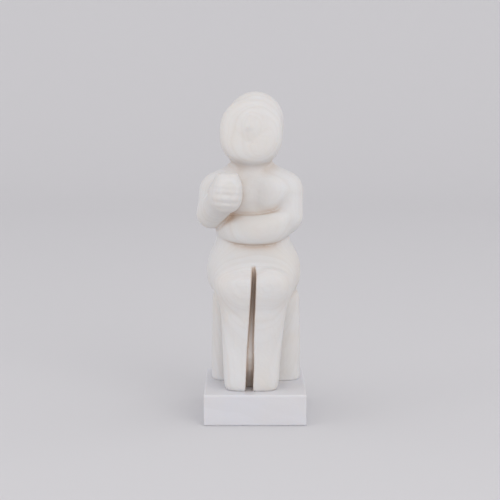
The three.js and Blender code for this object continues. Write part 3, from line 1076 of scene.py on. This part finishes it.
@dataclass(frozen=True)
class MarbleFinish:
    """A rubbed white marble: its colours, layers, grain and gloss, and the shade painted into its
    hollows.
    """

    name: str
    slot: str
    clean: Colour
    layer: Colour
    cloud: Colour
    # Painted shade: the brown that the colour turns to where the stone is shut in.
    painted_shade: Colour
    layer_direction: Point
    layer_spacing: float
    layer_wander: float
    band_strength: float
    line_strength: float
    cloud_strength: float
    # How far the painted shade darkens and browns the colour in hollows.
    painted_shade_strength: float
    roughness: float
    bump: float
    scatter: float

    def build(self, effects: MarbleEffects) -> bpy.types.Material:
        """Builds the material.

        Args:
            effects: The shared node groups.

        Returns:
            The finished material.
        """
        material = bpy.data.materials.new(self.name)
        material.use_nodes = True
        material.node_tree.nodes.clear()
        sheet = NodeSheet(material.node_tree)
        place = sheet.add("ShaderNodeTexCoord").outputs["Object"]
        layers = sheet.add("ShaderNodeGroup", "bedding", node_tree=effects.layers)
        sheet.feed(layers.inputs["Vector"], place)
        sheet.feed(layers.inputs["Direction"], self.layer_direction)
        sheet.feed(layers.inputs["Spacing"], self.layer_spacing)
        sheet.feed(layers.inputs["Wander"], self.layer_wander)
        clouds = sheet.add("ShaderNodeGroup", "patches", node_tree=effects.clouds)
        sheet.feed(clouds.inputs["Vector"], place)
        grain = sheet.add("ShaderNodeGroup", "grain", node_tree=effects.grain)
        sheet.feed(grain.inputs["Vector"], place)

        bands = sheet.math("MULTIPLY", layers.outputs["Bands"], self.band_strength)
        lines = sheet.math("MULTIPLY", layers.outputs["Lines"], self.line_strength)
        patches = sheet.math("MULTIPLY", clouds.outputs["Mask"], self.cloud_strength)
        # Painted shade: the colour is darkened and browned where the surface is shut in by stone,
        # as shade falls in creases, under the arms and in the leg slot.
        shut_in = sheet.add("ShaderNodeAttribute", "how hollow", attribute_name="painted_shade")
        shut = sheet.remap(shut_in.outputs["Fac"], 0.12, 0.85)
        shade = sheet.math("MULTIPLY", shut, self.painted_shade_strength)

        colour = sheet.mix_colour(patches, self.clean, self.cloud)
        colour = sheet.mix_colour(bands, colour, self.layer)
        colour = sheet.mix_colour(lines, colour, self.layer)
        colour = sheet.mix_colour(shade, colour, self.painted_shade)

        gloss = sheet.math("MULTIPLY_ADD", clouds.outputs["Mask"], 0.08, self.roughness)
        gloss = sheet.math("MULTIPLY_ADD", grain.outputs["Speckle"], -0.06, gloss)
        bump = sheet.add("ShaderNodeBump", "rubbed surface")
        sheet.feed(bump.inputs["Strength"], 1.0)
        sheet.feed(bump.inputs["Distance"], self.bump)
        sheet.feed(bump.inputs["Height"], grain.outputs["Height"])

        stone = sheet.add("ShaderNodeBsdfPrincipled")
        sheet.feed(stone.inputs["Base Color"], colour)
        sheet.feed(stone.inputs["Roughness"], gloss)
        sheet.feed(stone.inputs["Normal"], bump.outputs["Normal"])
        stone.inputs["IOR"].default_value = 1.49
        stone.inputs["Subsurface Weight"].default_value = self.scatter
        stone.inputs["Subsurface Radius"].default_value = (1.0, 0.7, 0.5)
        stone.inputs["Subsurface Scale"].default_value = 0.0025
        output = sheet.add("ShaderNodeOutputMaterial")
        sheet.feed(output.inputs["Surface"], stone.outputs["BSDF"])
        return material


FIGURE_MARBLE = MarbleFinish(
    name="figure_marble",
    slot="figure_marble",
    clean=(0.695, 0.69, 0.69),
    layer=(0.58, 0.53, 0.48),
    cloud=(0.69, 0.65, 0.60),
    # Painted shade colour for the figure's creases and leg slot; its strength is set below.
    painted_shade=(0.50, 0.36, 0.26),
    layer_direction=(0.06, -0.985, 0.16),
    layer_spacing=0.0017,
    layer_wander=0.0034,
    band_strength=0.14,
    line_strength=0.10,
    cloud_strength=0.55,
    painted_shade_strength=0.75,
    roughness=0.52,
    bump=0.00018,
    scatter=0.15,
)
PLINTH_MARBLE = MarbleFinish(
    name="plinth_marble",
    slot="plinth_marble",
    clean=(0.68, 0.68, 0.715),
    layer=(0.60, 0.59, 0.60),
    cloud=(0.685, 0.67, 0.67),
    # Painted shade colour, not used on the plinth: its strength is 0.
    painted_shade=(0.50, 0.38, 0.28),
    layer_direction=(0.25, 0.1, 0.96),
    layer_spacing=0.006,
    layer_wander=0.012,
    band_strength=0.12,
    line_strength=0.08,
    cloud_strength=0.5,
    painted_shade_strength=0.0,
    roughness=0.50,
    bump=0.00012,
    scatter=0.1,
)


# --------------------------------------------------------------------------- sub-assemblies


def put_in_place(mesh: bpy.types.Mesh, node: str) -> bpy.types.Object:
    """Makes a piece of a dressed mesh and puts it in place of its solid.

    Args:
        mesh: The mesh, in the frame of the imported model; the piece takes its name.
        node: The solid's node.

    Returns:
        The piece.
    """
    piece = bpy.data.objects.new(mesh.name, mesh)
    bpy.context.collection.objects.link(piece)
    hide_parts(node)
    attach(piece, "root")
    LOG.info("%s: %d vertices, %d faces", piece.name, len(mesh.vertices), len(mesh.polygons))
    return piece


@dataclass
class SeatedFigure:
    """Figure, cup and stool, carved from one block."""

    finish: MarbleFinish
    node: str = "seated_figure"
    carving: Carving = Carving()
    offset_x: float = -1.5
    cell: float = 0.8
    low: Point = (-30.4, -28.4, -0.4)
    high: Point = (29.6, 27.2, 152.4)
    reaches: tuple[float, ...] = (1.2, 2.5, 5.0, 9.0)

    def build(self, effects: MarbleEffects) -> bpy.types.Object:
        """Meshes the carving, dresses it and puts it in place of its solid.

        Args:
            effects: The shared node groups.

        Returns:
            The finished piece.
        """
        mesher = FieldMesher(self.carving.distance, self.low, self.high, self.cell)
        mesher.build()
        sole_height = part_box(self.node)[0][2]
        placed = mesher.vertices * MILLIMETRE
        placed += (self.offset_x * MILLIMETRE, 0.0, sole_height)
        mesh = bpy.data.meshes.new("carved_figure")
        mesh.from_pydata(placed.tolist(), [], mesher.quads.tolist())
        # Painted shade: store how shut in each vertex is, which the marble turns into brown shade.
        mesh.attributes.new("painted_shade", "FLOAT", "POINT").data.foreach_set(
            "value", mesher.painted_shade(self.reaches).astype(np.float32)
        )
        mesh.shade_smooth()
        mesh.materials.append(self.finish.build(effects))
        mesh.update()
        return put_in_place(mesh, self.node)


@dataclass
class Plinth:
    """Rectangular block under the figure, its edges eased by hand."""

    finish: MarbleFinish
    node: str = "plinth"
    edge_radius: float = 0.0009
    unevenness: float = 0.00012
    seed: float = 3.0
    cuts: tuple[int, int, int] = (57, 65, 29)

    def rounded_block(self, material: bpy.types.Material) -> bpy.types.NodeTree:
        """Builds the Geometry Nodes tree of a block with rounded, slightly uneven edges.

        Args:
            material: The material that the tree sets.

        Returns:
            The tree, with its sizes as named inputs.
        """
        tree = bpy.data.node_groups.new("rounded_block", "GeometryNodeTree")
        for name, kind in (
            ("Size", "NodeSocketVector"),
            ("Centre", "NodeSocketVector"),
            ("Edge Radius", "NodeSocketFloat"),
            ("Unevenness", "NodeSocketFloat"),
            ("Seed", "NodeSocketFloat"),
        ):
            tree.interface.new_socket(name, in_out="INPUT", socket_type=kind)
        tree.interface.new_socket("Geometry", in_out="OUTPUT", socket_type="NodeSocketGeometry")
        sheet = NodeSheet(tree)
        given = sheet.add("NodeGroupInput").outputs
        half = sheet.scale(given["Size"], 0.5)
        cube = sheet.add("GeometryNodeMeshCube", "block of even cuts")
        sheet.feed(cube.inputs["Size"], (2.0, 2.0, 2.0))
        for axis, cuts in zip("XYZ", self.cuts):
            cube.inputs[f"Vertices {axis}"].default_value = cuts

        start = sheet.add("GeometryNodeInputPosition").outputs["Position"]
        crowded = sheet.vector("SINE", sheet.scale(start, math.pi / 2))
        sized = sheet.vector("MULTIPLY", crowded, half)
        radius = sheet.add("ShaderNodeCombineXYZ", "edge radius on each axis")
        for socket in radius.inputs:
            sheet.feed(socket, given["Edge Radius"])
        inner = sheet.vector("SUBTRACT", half, radius.outputs["Vector"])
        held = sheet.vector("MINIMUM", sized, inner)
        held = sheet.vector("MAXIMUM", held, sheet.scale(inner, -1.0))
        outward = sheet.vector("NORMALIZE", sheet.vector("SUBTRACT", sized, held))
        rounded = sheet.vector("ADD", held, sheet.scale(outward, given["Edge Radius"]))

        wear = sheet.noise(
            "hand-dressed faces", "4D", Vector=rounded, W=given["Seed"], Scale=55.0, Detail=3.0
        )
        depth = sheet.math("MULTIPLY", wear, given["Unevenness"])
        level = sheet.vector("MULTIPLY", outward, (1.0, 1.0, 0.0))
        worn = sheet.vector("SUBTRACT", rounded, sheet.scale(level, depth))
        placed = sheet.vector("ADD", worn, given["Centre"])
        move = sheet.add("GeometryNodeSetPosition", "round and place")
        sheet.feed(move.inputs["Geometry"], cube.outputs["Mesh"])
        sheet.feed(move.inputs["Position"], placed)
        smooth = sheet.add("GeometryNodeSetShadeSmooth")
        sheet.feed(smooth.inputs["Geometry"], move.outputs["Geometry"])
        realize = sheet.add("GeometryNodeRealizeInstances")
        sheet.feed(realize.inputs["Geometry"], smooth.outputs["Geometry"])
        dress = sheet.add("GeometryNodeSetMaterial")
        sheet.feed(dress.inputs["Geometry"], realize.outputs["Geometry"])
        sheet.feed(dress.inputs["Material"], material)
        out = sheet.add("NodeGroupOutput")
        sheet.feed(out.inputs["Geometry"], dress.outputs["Geometry"])
        return tree

    def build(self, effects: MarbleEffects) -> bpy.types.Object:
        """Makes the block to its solid's size, dresses it and puts it in the solid's place.

        Args:
            effects: The shared node groups.

        Returns:
            The finished piece.
        """
        low, high = (Vector(corner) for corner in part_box(self.node))
        material = self.finish.build(effects)
        tree = self.rounded_block(material)
        maker = bpy.data.objects.new("plinth_maker", bpy.data.meshes.new("plinth_maker"))
        bpy.context.collection.objects.link(maker)
        modifier = maker.modifiers.new("rounded_block", "NODES")
        modifier.node_group = tree
        sizes = {
            "Size": high - low,
            "Centre": (high + low) / 2,
            "Edge Radius": self.edge_radius,
            "Unevenness": self.unevenness,
            "Seed": self.seed,
        }
        for item in tree.interface.items_tree:
            if item.in_out == "INPUT":
                modifier[item.identifier] = sizes[item.name]
        evaluated = maker.evaluated_get(bpy.context.evaluated_depsgraph_get())
        mesh = bpy.data.meshes.new_from_object(evaluated)
        bpy.data.objects.remove(maker)
        mesh.name = "marble_plinth"
        return put_in_place(mesh, self.node)


# --------------------------------------------------------------------------- the studio


class LightRole(Enum):
    """What a studio light does."""

    KEY = "key"
    FILL = "fill"


@dataclass(frozen=True)
class SoftBox:
    """A square soft light aimed at the object."""

    role: LightRole
    position: Point
    size: float
    power: float
    colour: Colour = (1.0, 1.0, 1.0)

    def build(self, target: Vector) -> bpy.types.Object:
        """Hangs the light.

        Args:
            target: The point it is aimed at.

        Returns:
            The light.
        """
        data = bpy.data.lights.new(self.role.value, "AREA")
        data.shape = "SQUARE"
        data.size = self.size
        data.energy = self.power
        data.color = self.colour
        light = bpy.data.objects.new(self.role.value, data)
        light.location = self.position
        light.rotation_euler = (target - Vector(self.position)).to_track_quat("-Z", "Y").to_euler()
        bpy.context.collection.objects.link(light)
        return light


@dataclass
class Studio:
    """Camera, pale floor that sweeps up into the backdrop, and soft lights."""

    camera_position: Point = (-0.00256, -0.73899, 0.1965)
    camera_target: Point = (-0.00256, 0.0, 0.0854)
    lens: float = 104.2
    floor_colour: Colour = (0.655, 0.65, 0.665)
    sweep_start: float = 0.9
    sweep_radius: float = 0.9
    half_width: float = 2.4
    front: float = -1.6
    wall_top: float = 2.6
    ambient: Colour = (0.98, 0.97, 0.985)
    ambient_strength: float = 0.93
    lights: tuple[SoftBox, ...] = (
        SoftBox(LightRole.KEY, (0.75, -1.15, 0.62), 0.9, 4.2, (1.0, 0.99, 0.975)),
        SoftBox(LightRole.FILL, (-1.05, -0.45, 0.20), 0.7, 2.0, (1.0, 0.99, 0.98)),
    )

    def build_camera(self) -> bpy.types.Object:
        """Sets the camera in front of the figure, a little above it."""
        data = bpy.data.cameras.new("camera")
        data.lens = self.lens
        data.clip_end = 20.0
        camera = bpy.data.objects.new("camera", data)
        camera.location = self.camera_position
        aim = Vector(self.camera_target) - Vector(self.camera_position)
        camera.rotation_euler = aim.to_track_quat("-Z", "Y").to_euler()
        bpy.context.collection.objects.link(camera)
        bpy.context.scene.camera = camera
        return camera

    def sweep_profile(self) -> list[tuple[float, float]]:
        """Points of the floor's profile from the front to the top of the wall, as (y, z)."""
        bend = [
            (
                self.sweep_start + self.sweep_radius * math.sin(angle),
                self.sweep_radius * (1 - math.cos(angle)),
            )
            for angle in (math.pi / 2 * step / 24 for step in range(25))
        ]
        return [(self.front, 0.0), *bend, (bend[-1][0], self.wall_top)]

    def build_floor(self) -> bpy.types.Object:
        """Makes the floor and the backdrop as one sheet."""
        profile = self.sweep_profile()
        sides = (-self.half_width, self.half_width)
        vertices = [(side, y, z) for y, z in profile for side in sides]
        faces = [(2 * i, 2 * i + 1, 2 * i + 3, 2 * i + 2) for i in range(len(profile) - 1)]
        mesh = bpy.data.meshes.new("studio_floor")
        mesh.from_pydata(vertices, [], faces)
        mesh.shade_smooth()
        material = bpy.data.materials.new("studio_paper")
        material.use_nodes = True
        paper = material.node_tree.nodes["Principled BSDF"]
        paper.inputs["Base Color"].default_value = (*self.floor_colour, 1.0)
        paper.inputs["Roughness"].default_value = 0.95
        paper.inputs["Specular IOR Level"].default_value = 0.1
        mesh.materials.append(material)
        floor = bpy.data.objects.new("studio_floor", mesh)
        bpy.context.collection.objects.link(floor)
        return floor

    def build_world(self) -> None:
        """Sets the even light that comes from all round."""
        world = bpy.data.worlds.new("studio_air")
        world.use_nodes = True
        air = world.node_tree.nodes["Background"]
        air.inputs["Color"].default_value = (*self.ambient, 1.0)
        air.inputs["Strength"].default_value = self.ambient_strength
        bpy.context.scene.world = world

    def build(self) -> None:
        """Builds the whole studio."""
        self.build_camera()
        self.build_floor()
        self.build_world()
        for light in self.lights:
            light.build(Vector(self.camera_target))
        bpy.context.scene.view_settings.view_transform = "Standard"
        bpy.context.scene.view_settings.look = "None"


def main() -> None:
    """Builds the studio and the dressed pieces in order."""
    logging.basicConfig(level=logging.INFO, format="%(name)s %(message)s")
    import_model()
    Studio().build()
    effects = MarbleEffects()
    SeatedFigure(FIGURE_MARBLE).build(effects)
    Plinth(PLINTH_MARBLE).build(effects)


if __name__ == "__main__":
    main()
